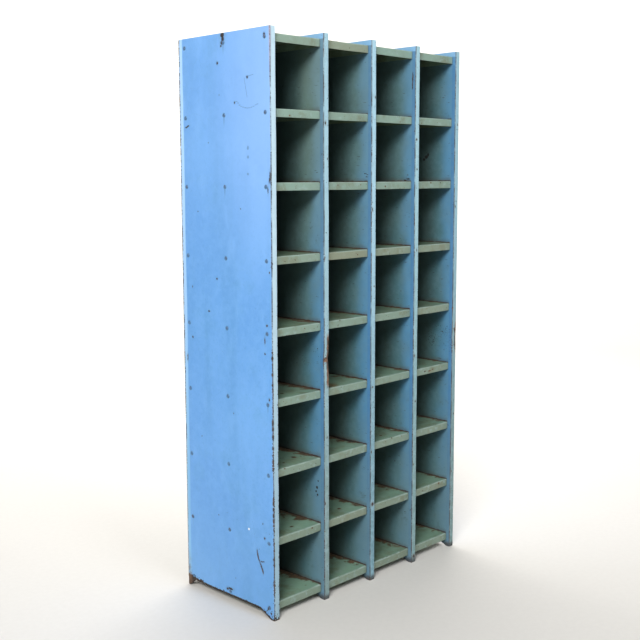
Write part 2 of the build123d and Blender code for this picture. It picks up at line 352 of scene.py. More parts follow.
    # painted highlight next to the folds, where the paint is also rubbed thin and pale, then a thin dark worn line on
    # the fold
    rub_and_sheen = g.m("MULTIPLY", g.step(fold, 0.006, 0.001), g.step(n3, 0.44, 0.62, 0.05, 0.40))
    col = g.mix(rub_and_sheen, col, (0.36, 0.52, 0.66))
    crease = g.m("MULTIPLY", g.step(fold, 0.0026, 0.0008), g.step(g.noise(28.0, 3.0), 0.30, 0.62, 0.25, 0.85))
    col = g.mix(crease, col, (0.055, 0.070, 0.105))
    # painted highlight on the front fold near the top
    up = g.m("MULTIPLY", g.step(Z, 1.44, 1.58), g.step(fold, 0.006, 0.001))
    col = g.mix(g.m("MULTIPLY", up, 0.7), col, (0.33, 0.31, 0.40))
    wear_col = g.mix(g.step(g.noise(95.0, 3.0), 0.42, 0.60), RUST_DARK, (0.066, 0.040, 0.030))
    wear_col = g.mix(g.step(Z, 0.9, 1.3, 0.0, 0.7), wear_col, (0.022, 0.022, 0.026))
    wear_col = g.mix(g.step(Z, 0.09, 0.05, 0.0, 0.75), wear_col, (0.030, 0.020, 0.015))
    col = g.mix(chip, col, wear_col)
    rear_foot = g.m("MULTIPLY", g.step(ly, 0.350, 0.362), g.step(g.m("ADD", Z, g.m("MULTIPLY", n1, -0.03)), 0.020, 0.004))
    col = g.mix(g.m("MULTIPLY", rear_foot, 0.9), col, g.mix(g.step(n1, 0.4, 0.6), (0.028, 0.018, 0.013), (0.060, 0.034, 0.022)))
    # rust streak at the foot of the rear strip
    st = g.m("MULTIPLY", g.step(ly, 0.352, 0.366), g.step(Z, 0.115, 0.02))
    col = g.mix(g.m("MULTIPLY", st, g.step(g.noise(80.0, 3.0), 0.35, 0.6, 0.2, 0.9)), col, (0.13, 0.07, 0.04))
    white = g.step(g.spots([(SX, SY + 0.1013, 0.2393, 0.004, 0.0032, 0.0032)], 0.0008), 1.1, 0.85)
    col = g.mix(white, col, (0.85, 0.86, 0.86))
    rough = g.m("ADD", g.step(fine, 0.2, 0.8, 0.30, 0.42), g.m("MULTIPLY", chip, 0.42))
    h = g.m("ADD", g.m("MULTIPLY", g.noise(480.0, 2.0), 0.10), g.m("MULTIPLY", chip, -0.55))
    h = g.m("ADD", h, g.m("MULTIPLY", g.noise(20.0, 2.0), 0.5))
    return g.surface(col, rough, h, 0.35, 0.0006, coat=0.0)


def upright_material(i):
    """Partitions 1-3 and the right side panel: pale worn front edge, blue-green web."""
    g = G(f"upright_enamel_{i}")
    x0 = SX + i * PITCH
    X, Y, Z = g.xyz(g.P)
    ly = g.m("SUBTRACT", Y, SY)
    fold = g.attr("fold")        # distance to the front left fold
    fold2 = g.attr("fold2")      # distance to the front right fold
    n3 = g.noise(24.0, 2.0, 0.5)
    n1 = g.noise(220.0, 4.0, 0.62)
    fine = g.noise(70.0, 4.0, 0.6)
    # the web inside: bluer in the first centimetres and to the right, greyer-green further in and to the left; the
    # darkening further in is painted shade
    blue_amt = {1: 0.25, 2: 0.60, 3: 0.75, 4: 0.92}[i]
    amt = g.step(Z, 1.52, 0.60, blue_amt, 1.0)
    front_tone = g.mix(amt, (0.155, 0.230, 0.215), WEB_IN)
    mid_tone = g.mix(amt, WEB_GREEN, WEB_MID)
    wob = g.m("ADD", ly, g.m("MULTIPLY", g.m("SUBTRACT", g.noise(10.0, 3.0), 0.5), 0.05))
    web = g.mix(g.step(wob, 0.018, 0.068), front_tone, mid_tone)
    web = g.mix(g.step(wob, 0.060, 0.120), web, (0.070, 0.125, 0.120))
    web = g.mix(g.step(g.noise(9.0, 4.0, 0.55), 0.42, 0.72, 0.0, 0.30), web, (0.10, 0.155, 0.15))
    # the strip beside the fold was handled and painted bluer
    web = g.mix(g.step(ly, 0.0140, 0.0125, 0.0, 0.85), web, g.mix(amt, (0.115, 0.20, 0.25), (0.064, 0.20, 0.41)))
    grey_low = g.m("MULTIPLY", g.step(Z, 0.62, 0.12), g.step(ly, 0.11, 0.02))
    web = g.mix(g.m("MULTIPLY", grey_low, 0.62), web, (0.132, 0.215, 0.225))
    web = g.mix(g.m("MULTIPLY", g.step(Z, 1.5840, 1.5865), 0.9), web, (0.22, 0.44, 0.70))
    web = g.mix(g.step(fine, 0.35, 0.75, 0.0, 0.16), web, (0.17, 0.30, 0.36))
    # outside of the box edge: a shaded low and a lit high tone, painted darker low down and lighter up high as light
    # from above
    shaded_low_tone, lit_high_tone = {1: (SHADED_PALE_LOW, PALE),
                           2: ((0.138, 0.278, 0.345), (0.350, 0.570, 0.700)),
                           3: ((0.165, 0.288, 0.300), (0.330, 0.545, 0.635)),
                           4: ((0.126, 0.212, 0.212), (0.285, 0.480, 0.575))}[i]
    pale = g.mix(g.step(Z, 0.15, 1.25), shaded_low_tone, lit_high_tone)
    pale = g.mix(g.step(fine, 0.35, 0.75, 0.0, 0.35), pale, tuple(1.12 * c for c in lit_high_tone))
    pale = g.mix(g.step(g.noise(46.0, 3.0, 0.6), 0.52, 0.70, 0.0, 0.30), pale, tuple(0.62 * c for c in lit_high_tone))
    is_edge = g.m("MAXIMUM", g.step(ly, 0.0016, 0.0010), g.step(g.attr("boxy"), 0.4, 0.6))
    col = g.mix(is_edge, web, pale)
    # dirt and rust where shelves meet the web
    zt = g.m("FLOORED_MODULO", g.m("SUBTRACT", g.even(Z), TOP0 - 0.0005), TIER)
    junction = g.step(g.m("ADD", zt, g.m("MULTIPLY", g.noise(80.0, 3.0), -0.0062)), 0.0010, -0.0014)
    soil = g.step(g.m("ADD", zt, g.m("MULTIPLY", g.noise(34.0, 3.0), -0.018)), 0.008, -0.008, 0.0, 0.42)
    inside = g.m("MULTIPLY", g.step(ly, 0.013, 0.016), g.step(Z, 1.5845, 1.5835))
    col = g.mix(g.m("MULTIPLY", soil, inside), col, (0.085, 0.070, 0.045))
    col = g.mix(g.m("MULTIPLY", junction, inside), col, (0.060, 0.032, 0.020))
    blot = g.step(g.noise(16.0, 5.0, 0.65), 0.60, 0.72, 0.0, 0.40)
    col = g.mix(g.m("MULTIPLY", blot, inside), col, (0.06, 0.10, 0.10))
    scuff = g.m("MULTIPLY", g.step(g.noise(130.0, 3.0, 0.6, stretch=(1, 0.35, 1.6)), 0.66, 0.70), inside)
    col = g.mix(g.m("MULTIPLY", scuff, 0.7), col, (0.045, 0.050, 0.048))
    # named marks: (X, Z in units of the height, half width, half height in mm)
    H = 1.6
    marks = {
        1: [(0.007, 0.850, 2.2, 4.5), (0.0165, 0.445, 4.5, 5.0), (0.018, 0.470, 2.4, 9.0), (0.018, 0.430, 2.6, 12.0),
            (0.004, 0.62, 1.4, 4.0), (0.015, 0.79, 1.5, 2.5), (0.012, 0.30, 1.6, 3.0), (0.004, 0.18, 1.6, 4.0)],
        2: [(0.010, 0.1485, 5.0, 5.0), (0.009, 0.3725, 2.4, 2.0), (0.006, 0.70, 1.6, 5.0), (0.014, 0.56, 1.6, 2.6),
            (0.015, 0.90, 1.6, 3.0), (0.004, 0.25, 1.6, 4.0)],
        3: [(0.007, 0.8285, 2.6, 3.2), (0.010, 0.773, 2.0, 3.0), (0.006, 0.416, 2.0, 4.0), (0.012, 0.326, 2.2, 3.0),
            (0.012, 0.62, 1.5, 4.0), (0.012, 0.012, 5.0, 5.0), (0.006, 0.20, 1.5, 3.0)],
        4: [(0.016, 0.438, 3.6, 36.0), (0.012, 0.452, 2.5, 6.0), (0.007, 0.70, 1.8, 4.0), (0.013, 0.86, 1.5, 3.0),
            (0.006, 0.16, 1.6, 3.5), (0.014, 0.28, 1.5, 2.5)],
    }[i]
    items = [(x0 + x, SY, z * H, rx / 1000, 0.004, rz / 1000) for x, z, rx, rz in marks]
    if i == 1:      # black marks on its left face, 29 mm back
        items += [(x0, SY + 0.029, 0.330, 0.004, 0.0040, 0.0045), (x0, SY + 0.033, 0.318, 0.004, 0.0030, 0.0040),
                  (x0, SY + 0.027, 0.309, 0.004, 0.0034, 0.0036), (x0, SY + 0.025, 0.350, 0.004, 0.0022, 0.0028)]
    if i == 2:
        items += [(x0, SY + 0.024, 1.2240, 0.004, 0.0050, 0.0014), (x0, SY + 0.016, 1.2205, 0.004, 0.0042, 0.0012),
                  (x0, SY + 0.018, 1.2145, 0.004, 0.0052, 0.0012),
                  (x0, SY + 0.098, TOPS[2] - 0.0024, 0.004, 0.062, 0.0036)]
    if i == 3:
        items += [(x0, SY + 0.026, 1.2080, 0.004, 0.0065, 0.0022), (x0, SY + 0.038, 1.2040, 0.004, 0.0050, 0.0020),
                  (x0, SY + 0.011, 1.5080, 0.004, 0.0024, 0.0180), (x0, SY + 0.012, 1.4850, 0.004, 0.0020, 0.0120)]
    if i == 4:
        items += [(x0, SY + 0.112, 1.2780, 0.004, 0.0060, 0.0060), (x0, SY + 0.121, 1.2700, 0.004, 0.0050, 0.0040),
                  (x0, SY + 0.105, 1.2850, 0.004, 0.0040, 0.0050)]
    d = g.spots(items)
    chip = g.step(d, 1.12, 0.82)
    # the left fold is worn to a dark line nearly all the way
    base_thr = {1: 0.53, 2: 0.54, 3: 0.53, 4: 0.545}[i]
    thr = g.step(fold, 0.0, 0.0036, base_thr, 0.84, soft=False)
    thr = g.m("SUBTRACT", thr, g.m("MULTIPLY", g.m("SUBTRACT", n3, 0.5), 0.40))
    e1 = g.step(g.m("SUBTRACT", n1, thr), -0.012, 0.03)
    lowz = g.step(Z, 0.62, 0.84) if i == 1 else 1.0
    thr2 = g.step(fold2, 0.0, 0.0042, 0.56, 0.88, soft=False)
    if i == 1:
        near = g.step(g.m("ABSOLUTE", g.m("SUBTRACT", Z, 0.71)), 0.10, 0.02, 0.0, 0.22)
        thr2 = g.m("SUBTRACT", thr2, near)
    if i == 4:
        near = g.step(g.m("ABSOLUTE", g.m("SUBTRACT", Z, 0.70)), 0.07, 0.02, 0.0, 0.26)
        thr2 = g.m("SUBTRACT", thr2, near)
    thr2 = g.m("SUBTRACT", thr2, g.m("MULTIPLY", g.m("SUBTRACT", n3, 0.5), 0.42))
    e2 = g.step(g.m("SUBTRACT", n1, thr2), -0.012, 0.03)
    wear = g.m("MAXIMUM", chip, g.m("MAXIMUM", e1, e2))
    speck = g.m("MULTIPLY", g.step(g.noise(170.0, 2.0, 0.5), 0.70, 0.73), g.step(ly, 0.016, 0.010))
    wear = g.m("MAXIMUM", wear, g.m("MULTIPLY", speck, 0.85))
    foot = g.step(g.m("ADD", Z, g.m("MULTIPLY", n1, -0.02)), 0.012, -0.004, 0.0, 0.85)
    wear = g.m("MAXIMUM", wear, foot)
    crease = g.m("MULTIPLY", g.step(fold, 0.0024, 0.0008), g.step(g.noise(26.0, 3.0), 0.30, 0.62, 0.30, 0.90))
    # painted highlight next to the left fold, where the paint is also rubbed pale
    rub_and_sheen = g.m("MULTIPLY", g.step(fold, 0.007, 0.001), g.step(n3, 0.46, 0.62, 0.0, 0.35))
    col = g.mix(g.m("MULTIPLY", rub_and_sheen, is_edge), col, (0.40, 0.50, 0.58))
    col = g.mix(crease, col, (0.048, 0.058, 0.070))
    halo = g.m("MULTIPLY", g.step(d, 2.3, 1.0, 0.0, 0.45), is_edge)
    col = g.mix(halo, col, (0.16, 0.10, 0.07))
    if i in (1, 4):
        zc, zh, xe = {1: (0.700, 0.085, 0.0105), 4: (0.705, 0.052, 0.0125)}[i]
        lx = g.m("ADD", g.m("SUBTRACT", X, x0), g.m("MULTIPLY", g.m("SUBTRACT", g.noise(90.0, 4.0, 0.6), 0.5), 0.012))
        band = g.m("MULTIPLY", g.step(lx, xe - 0.0010, xe + 0.0022), g.step(g.m("ABSOLUTE", g.m("SUBTRACT", Z, zc)), zh, zh * 0.72))
        spot = g.step(g.spots([(x0 + 0.0080, SY, 0.7045 if i == 1 else 0.742, 0.0115, 0.004, 0.0080)] if i == 1
                              else [(x0 + 0.001, SY, 0.795, 0.003, 0.004, 0.005), (x0 + 0.010, SY, 0.728, 0.004, 0.004, 0.005)]), 1.15, 0.75)
        band = g.m("MULTIPLY", g.m("MAXIMUM", band, spot), g.step(ly, 0.006, 0.003))
        band_col = g.mix(g.step(g.noise(140.0, 4.0, 0.6), 0.40, 0.62), (0.070, 0.034, 0.018), (0.225, 0.090, 0.030))
        col = g.mix(g.m("MULTIPLY", band, 0.92 if i == 1 else 0.75), col, band_col)
    wear_col = g.mix(g.step(g.noise(95.0, 3.0), 0.46, 0.66), RUST_DARK, (0.085, 0.042, 0.024))
    wear_col = g.mix(g.step(g.noise(12.0, 2.0), 0.42, 0.58, 0.0, 0.7), wear_col, BARE)
    wear_col = g.mix(inside, wear_col, (0.024, 0.024, 0.022))
    col = g.mix(wear, col, wear_col)
    # painted shade toward the back of each pigeonhole, with some grime
    depth_shade_and_grime = g.step(g.m("ADD", ly, g.m("MULTIPLY", g.noise(12.0, 3.0), -0.05)), 0.03, 0.20, 0.0, 0.72)
    depth_shade_and_grime = g.m("MULTIPLY", depth_shade_and_grime, g.step(Z, 1.5865, 1.5840))
    col = g.mix(depth_shade_and_grime, col, (0.026, 0.043, 0.045))
    rough = g.m("ADD", g.step(fine, 0.2, 0.8, 0.36, 0.50), g.m("MULTIPLY", wear, 0.35))
    h = g.m("ADD", g.m("MULTIPLY", g.noise(420.0, 2.0), 0.12), g.m("MULTIPLY", wear, -0.6))
    return g.surface(col, rough, h, 0.35, 0.0006)


def inside_left_material():
    """Right-hand (inner) side of the left panel's sheet and all inner sides that face right."""
    g = G("inner_web_enamel")
    X, Y, Z = g.xyz(g.P)
    ly = g.m("SUBTRACT", Y, SY)
    col = g.mix(g.step(g.noise(9.0, 4.0), 0.4, 0.7), WEB_GREEN, (0.15, 0.22, 0.21))
    zt = g.m("FLOORED_MODULO", g.m("SUBTRACT", g.even(Z), TOP0 - 0.0005), TIER)
    soil = g.step(g.m("ADD", zt, g.m("MULTIPLY", g.noise(34.0, 3.0), -0.030)), 0.016, -0.012, 0.0, 0.6)
    col = g.mix(soil, col, (0.075, 0.055, 0.035))
    # darker toward the back: painted shade with some grime
    depth_shade_and_grime = g.step(g.m("ADD", ly, g.m("MULTIPLY", g.noise(12.0, 3.0), -0.05)), 0.05, 0.24, 0.0, 0.62)
    col = g.mix(depth_shade_and_grime, col, GRIME_AND_SHADE)
    sp = g.step(g.noise(140.0, 3.0), 0.67, 0.71)
    col = g.mix(sp, col, RUST_DARK)
    rough = g.step(g.noise(60.0, 3.0), 0.2, 0.8, 0.42, 0.58)
    return g.surface(col, rough, g.noise(420.0, 2.0), 0.2, 0.0005)


STAIN = (SX + 0.262, SY + 0.045, TOPS[3], 0.040, 0.034, 0.006)


def outer_right_material():
    """Outward face of the right side panel, out of sight in the main view: the left side's enamel."""
    g = G("right_panel_outer_enamel")
    X, Y, Z = g.xyz(g.P)
    ly = g.m("SUBTRACT", Y, SY)
    col = g.mix(g.step(g.noise(2.6, 3.0, 0.5), 0.35, 0.68), BLUE_DEEP, BLUE)
    col = g.mix(g.step(g.noise(1.0, 3.0, 0.5, stretch=(14.0, 14.0, 1.6)), 0.42, 0.68, 0.0, 0.5), col, (0.088, 0.275, 0.585))
    col = g.mix(g.step(g.noise(14.0, 4.0, 0.6), 0.52, 0.74, 0.0, 0.38), col, (0.19, 0.43, 0.78))
    n1 = g.noise(210.0, 4.0, 0.6)
    n3 = g.noise(26.0, 2.0, 0.5)
    zr = g.m("SUBTRACT", g.m("FLOORED_MODULO", g.m("ADD", g.even(Z), TIER / 2 - (TOP0 - LIP / 2)), TIER), TIER / 2)
    ring = None
    for ry in RIVET_Y:
        dy = g.m("SUBTRACT", ly, ry)
        d = g.m("SQRT", g.m("ADD", g.m("MULTIPLY", dy, dy), g.m("MULTIPLY", zr, zr)))
        ring = d if ring is None else g.m("MINIMUM", ring, d)
    # dark ring round each rivet: grime and painted shade at the head
    grime_and_shadow = g.step(g.m("ADD", ring, g.m("MULTIPLY", n3, -0.004)), 0.0062, 0.0030, 0.0, 0.75)
    col = g.mix(grime_and_shadow, col, (0.05, 0.13, 0.20))
    edge = g.m("MINIMUM", g.m("SUBTRACT", ly, 0.013), g.m("SUBTRACT", 0.3795, ly))
    edge = g.m("MINIMUM", edge, g.m("MINIMUM", g.m("SUBTRACT", 1.6, Z), g.m("SUBTRACT", Z, 0.018)))
    thr = g.m("SUBTRACT", g.step(edge, 0.0, 0.008, 0.50, 0.83, soft=False), g.m("MULTIPLY", g.m("SUBTRACT", n3, 0.5), 0.5))
    chip = g.step(g.m("SUBTRACT", n1, thr), -0.01, 0.03)
    flake = g.step(g.m("SUBTRACT", g.noise(60.0, 4.0, 0.6), g.step(g.noise(5.0, 2.0), 0.40, 0.70, 0.86, 0.70)), -0.01, 0.03)
    chip = g.m("MAXIMUM", chip, flake)
    col = g.mix(chip, col, g.mix(g.step(g.noise(95.0, 3.0), 0.42, 0.60), RUST_DARK, RUST))
    rough = g.m("ADD", g.step(g.noise(55.0, 4.0), 0.2, 0.8, 0.30, 0.42), g.m("MULTIPLY", chip, 0.42))
    return g.surface(col, rough, g.m("ADD", g.m("MULTIPLY", g.noise(480.0, 2.0), 0.10), g.m("MULTIPLY", chip, -0.5)), 0.35, 0.0006)


def pan_material():
    """Grey-green shelf enamel, worn along the lip, rusty along the right and rear."""
    g = G("shelf_enamel")
    X, Y, Z = g.xyz(g.P)
    px, py, pz = g.attr("px"), g.attr("py"), g.attr("pz")
    tone, rusty = g.attr("tone"), g.attr("rusty")
    fine = g.noise(75.0, 5.0, 0.6)
    big = g.noise(11.0, 4.0, 0.55)
    col = g.mix(g.step(big, 0.36, 0.68), GREEN, (0.140, 0.238, 0.174))
    col = g.mix(g.step(fine, 0.35, 0.75, 0.0, 0.25), col, (0.23, 0.30, 0.22))
    haze = g.m("MULTIPLY", g.step(g.noise(13.0, 5.0, 0.62), 0.46, 0.64, 0.0, 0.62), g.step(pz, -0.003, -0.001))
    col = g.mix(haze, col, (0.122, 0.138, 0.078))
    chalky = g.m("MULTIPLY", g.step(g.noise(31.0, 4.0, 0.6, stretch=(1.0, 0.5, 1.0)), 0.52, 0.68, 0.0, 0.45), g.step(py, 0.12, 0.02))
    col = g.mix(chalky, col, (0.215, 0.310, 0.270))
    high = g.attr("tier")
    brown = g.m("MULTIPLY", g.step(high, 0.25, 0.60, 0.0, 0.60), g.step(g.noise(20.0, 4.0), 0.34, 0.60, 0.35, 1.0))
    col = g.mix(brown, col, (0.098, 0.112, 0.052))
    lip = g.step(py, 0.0050, 0.0022)
    # the lip is darker on low shelves and toward the right, lighter up high: painted light from above with a random
    # per-shelf tone
    lipc = g.mix(g.step(tone, 0.0, 1.0), (0.165, 0.228, 0.175), GREEN_LIP)
    lipc = g.mix(g.step(g.noise(30.0, 4.0), 0.42, 0.66, 0.0, 0.4), lipc, (0.19, 0.265, 0.225))
    lipc = g.mix(g.step(g.noise(19.0, 5.0, 0.65), 0.50, 0.66, 0.0, 0.55), lipc, (0.150, 0.168, 0.108))
    lipc = g.mix(g.step(g.noise(64.0, 4.0, 0.6), 0.54, 0.70, 0.0, 0.50), lipc, (0.27, 0.40, 0.40))
    lipc = g.mix(g.attr("brownlip"), lipc, g.scale_color((0.245, 0.235, 0.150), 0.95))
    col = g.mix(lip, col, lipc)
    # painted highlight along the top bend
    bend = g.m("ABSOLUTE", g.m("SUBTRACT", py, 0.0022))
    rim = g.m("MULTIPLY", g.step(bend, 0.0045, 0.0008), g.step(pz, -0.004, -0.0015))
    col = g.mix(g.m("MULTIPLY", rim, g.step(g.noise(22.0, 3.0), 0.35, 0.6, 0.15, 0.85)), col, (0.30, 0.41, 0.37))
    stain = g.step(g.m("ADD", g.spots([STAIN], 0.004), g.m("MULTIPLY", g.noise(70.0, 4.0), 0.5)), 1.30, 0.70)
    col = g.mix(g.m("MULTIPLY", stain, 0.85), col, g.mix(g.step(g.noise(90.0, 3.0), 0.4, 0.6), (0.10, 0.062, 0.024), (0.185, 0.115, 0.045)))
    # scuffs drawn in and out of the hole
    sc = g.step(g.noise(48.0, 4.0, 0.6, stretch=(2.4, 0.25, 1.0)), 0.60, 0.70, 0.0, 0.5)
    col = g.mix(g.m("MULTIPLY", sc, g.step(py, 0.004, 0.02)), col, (0.13, 0.16, 0.12))
    # rust along the right edge and in patches towards the back
    right = g.m("SUBTRACT", 0.1988, px)
    n2 = g.noise(60.0, 4.0, 0.6)
    line = g.step(g.m("ADD", right, g.m("MULTIPLY", n2, -0.010)), 0.0010, -0.0030)
    top = g.step(pz, -0.003, -0.001)
    thr = g.m("SUBTRACT", g.m("ADD", 0.775, g.step(right, 0.0, 0.055, -0.22, 0.06)), g.m("MULTIPLY", rusty, g.step(py, 0.0, 0.16, 0.13, 0.27)))
    patch = g.m("MULTIPLY", g.step(g.m("SUBTRACT", g.noise(34.0, 5.0, 0.62), thr), -0.02, 0.06), g.step(py, 0.006, 0.03))
    rust = g.m("MULTIPLY", top, g.m("MAXIMUM", g.m("MULTIPLY", line, g.step(rusty, 0.0, 0.6, 0.45, 1.0)), patch))
    left_soil = g.m("MULTIPLY", top, g.step(g.m("ADD", px, g.m("MULTIPLY", n2, -0.012)), 0.004, -0.004, 0.0, 0.7))
    col = g.mix(left_soil, col, (0.08, 0.065, 0.04))
    rust_col = g.mix(g.step(g.noise(120.0, 3.0), 0.40, 0.62), (0.050, 0.026, 0.013), (0.115, 0.055, 0.025))
    col = g.mix(g.m("MULTIPLY", rust, 0.92), col, rust_col)
    # ends of the lip are painted dark where the sheet is folded round beside the uprights: painted shade
    ends = g.m("MINIMUM", px, right)
    end_shade = g.m("MULTIPLY", g.step(ends, 0.0042, 0.0012), g.step(py, 0.020, 0.010))
    col = g.mix(g.m("MULTIPLY", end_shade, 0.65), col, (0.06, 0.055, 0.045))
    # chips on the lip
    H = 1.6

    def at(xh, zh, rx, rz):
        return (SX + (xh - 0.1303) * H, SY + 0.013, zh * H, rx / 1000, 0.005, rz / 1000)
    items = [at(0.182, 0.860, 3.0, 2.2), at(0.4285, 0.7415, 2.6, 2.6), at(0.565, 0.7475, 3.4, 2.2), at(0.6025, 0.1395, 3.0, 3.6),
             at(0.553, 0.378, 5.0, 2.0), at(0.568, 0.377, 7.0, 2.0), at(0.578, 0.379, 4.0, 2.0), at(0.499, 0.974, 4.5, 5.0),
             at(0.165, 0.262, 2.4, 2.0), at(0.225, 0.148, 2.6, 3.0), at(0.232, 0.139, 3.0, 2.0), at(0.352, 0.62, 2.0, 1.8),
             at(0.305, 0.505, 2.2, 1.8), at(0.452, 0.262, 2.0, 2.0), at(0.215, 0.5, 2.0, 1.6), at(0.47, 0.86, 1.8, 1.6),
             at(0.535, 0.86, 2.0, 1.8), at(0.30, 0.745, 2.2, 1.8), at(0.36, 0.745, 1.6, 1.6)]
    # small rust spots towards the front of the lower shelves
    for bay, k, lx, ly, rx, ry in ((0, 0, 60, 60, 5, 8), (0, 1, 120, 40, 6, 4), (0, 1, 70, 90, 10, 7), (0, 2, 150, 60, 7, 9), (0, 3, 95, 50, 5, 6),
                                   (1, 0, 80, 70, 8, 6), (1, 1, 130, 50, 6, 5), (1, 3, 60, 55, 6, 9), (2, 2, 110, 40, 5, 4), (0, 2, 90, 40, 4, 3)):
        items.append((SX + bay * PITCH + lx / 1000, SY + 0.013 + ly / 1000, TOPS[k], rx / 1000, ry / 1000, 0.003))
    d = g.spots(items)
    chip = g.step(d, 1.12, 0.80)
    halo = g.step(d, 2.2, 1.0, 0.0, 0.30)
    n1 = g.noise(240.0, 4.0, 0.62)
    edge_top = g.m("MULTIPLY", g.step(bend, 0.0035, 0.0), g.step(pz, -0.0045, -0.0020))
    low_edge = g.m("MULTIPLY", g.step(g.m("ADD", pz, LIP), 0.0030, 0.0), g.step(py, 0.006, 0.002))
    em = g.m("MAXIMUM", edge_top, low_edge)
    thr = g.m("SUBTRACT", g.step(em, 0.0, 1.0, 0.86, 0.600, soft=False), g.m("MULTIPLY", g.m("SUBTRACT", big, 0.5), 0.35))
    edge = g.step(g.m("SUBTRACT", n1, thr), -0.012, 0.03)
    speck = g.m("MULTIPLY", g.step(g.noise(150.0, 2.0, 0.5), 0.715, 0.74), g.step(py, 0.02, 0.003))
    wear = g.m("MAXIMUM", chip, g.m("MAXIMUM", edge, speck))
    col = g.mix(halo, col, (0.15, 0.11, 0.06))
    col = g.mix(wear, col, g.mix(g.step(g.noise(100.0, 2.0), 0.42, 0.6), (0.035, 0.022, 0.014), (0.13, 0.058, 0.026)))
    # painted shade toward the back of the hole, with some grime
    depth_shade_and_grime = g.step(g.m("ADD", py, g.m("MULTIPLY", g.noise(12.0, 3.0), -0.06)), 0.05, 0.26, 0.0, 0.60)
    col = g.mix(depth_shade_and_grime, col, GRIME_AND_SHADE)
    rough = g.m("ADD", g.step(fine, 0.2, 0.8, 0.40, 0.55), g.m("MULTIPLY", wear, 0.3))
    h = g.m("ADD", g.m("MULTIPLY", g.noise(420.0, 2.0), 0.12), g.m("ADD", g.m("MULTIPLY", wear, -0.5), g.m("MULTIPLY", rust, 0.25)))
    return g.surface(col, rough, h, 0.35, 0.0006)


def back_material():
    g = G("back_sheet_enamel")
    X, Y, Z = g.xyz(g.P)
    big = g.noise(4.0, 4.0)
    col = g.mix(g.step(big, 0.38, 0.66), (0.085, 0.14, 0.155), (0.12, 0.19, 0.20))
    st = g.noise(1.0, 3.0, stretch=(30.0, 30.0, 2.0))
    col = g.mix(g.step(st, 0.48, 0.7, 0.0, 0.35), col, (0.065, 0.10, 0.11))
    # the inner face is darker: painted shade inside the closed box, with some grime
    inner = g.attr("inside")
    col = g.mix(g.m("MULTIPLY", inner, 0.7), col, GRIME_AND_SHADE)
    n1 = g.noise(130.0, 4.0, 0.6)
    ends = g.m("MINIMUM", g.m("SUBTRACT", 0.4112, X), g.m("ADD", X, 0.4042))
    ends = g.m("MINIMUM", ends, g.m("MINIMUM", g.m("SUBTRACT", Z, 0.023), g.m("SUBTRACT", 1.598, Z)))
    thr = g.m("SUBTRACT", g.step(ends, 0.0, 0.012, 0.52, 0.80, soft=False), g.m("MULTIPLY", g.m("SUBTRACT", big, 0.5), 0.3))
    wear = g.step(g.m("SUBTRACT", n1, thr), -0.01, 0.03)
    col = g.mix(wear, col, RUST)
    rough = g.m("ADD", g.step(g.noise(50.0), 0.2, 0.8, 0.45, 0.6), g.m("MULTIPLY", wear, 0.25))
    return g.surface(col, rough, g.m("ADD", g.m("MULTIPLY", g.noise(400.0), 0.1), g.m("MULTIPLY", wear, -0.4)), 0.3, 0.0006)


def rivet_material(name, paint):
    """Painted rivets with the crown rubbed."""
    g = G(name)
    n = g.noise(300.0, 3.0, 0.6)
    per = g.noise(9.0, 1.0)
    col = g.mix(g.step(g.noise(60.0, 2.0), 0.4, 0.7), paint, tuple(c * 0.72 for c in paint))
    rub_and_sheen = g.m("MULTIPLY", g.step(n, 0.52, 0.60), g.step(per, 0.44, 0.60, 0.25, 1.0))
    col = g.mix(rub_and_sheen, col, g.mix(g.step(g.noise(150.0), 0.45, 0.6), (0.045, 0.040, 0.040), RUST))
    rough = g.m("ADD", 0.34, g.m("MULTIPLY", rub_and_sheen, 0.35))
    return g.surface(col, rough, g.m("MULTIPLY", rub_and_sheen, -0.4), 0.3, 0.0004)


def floor_material():
    g = G("studio_floor")
    n = g.noise(1.3, 3.0)
    f = g.noise(60.0, 4.0)
    col = g.mix(n, (0.66, 0.645, 0.62), (0.70, 0.685, 0.66))
    col = g.mix(g.step(f, 0.3, 0.7, 0.0, 0.25), col, (0.62, 0.605, 0.58))
    return g.surface(col, 0.62, f, 0.04, 0.0005, specular=0.3)


MAT_SIDE = side_material()
MAT_UP = {i: upright_material(i) for i in (1, 2, 3, 4)}
MAT_INNER = inside_left_material()
MAT_OUTER = outer_right_material()
MAT_PAN = pan_material()
MAT_BACK = back_material()
MAT_RIVET_SIDE = rivet_material("rivet_side_blue", (0.058, 0.160, 0.310))
MAT_RIVET = rivet_material("rivet_grey_blue", (0.16, 0.27, 0.30))
MAT_FLOOR = floor_material()


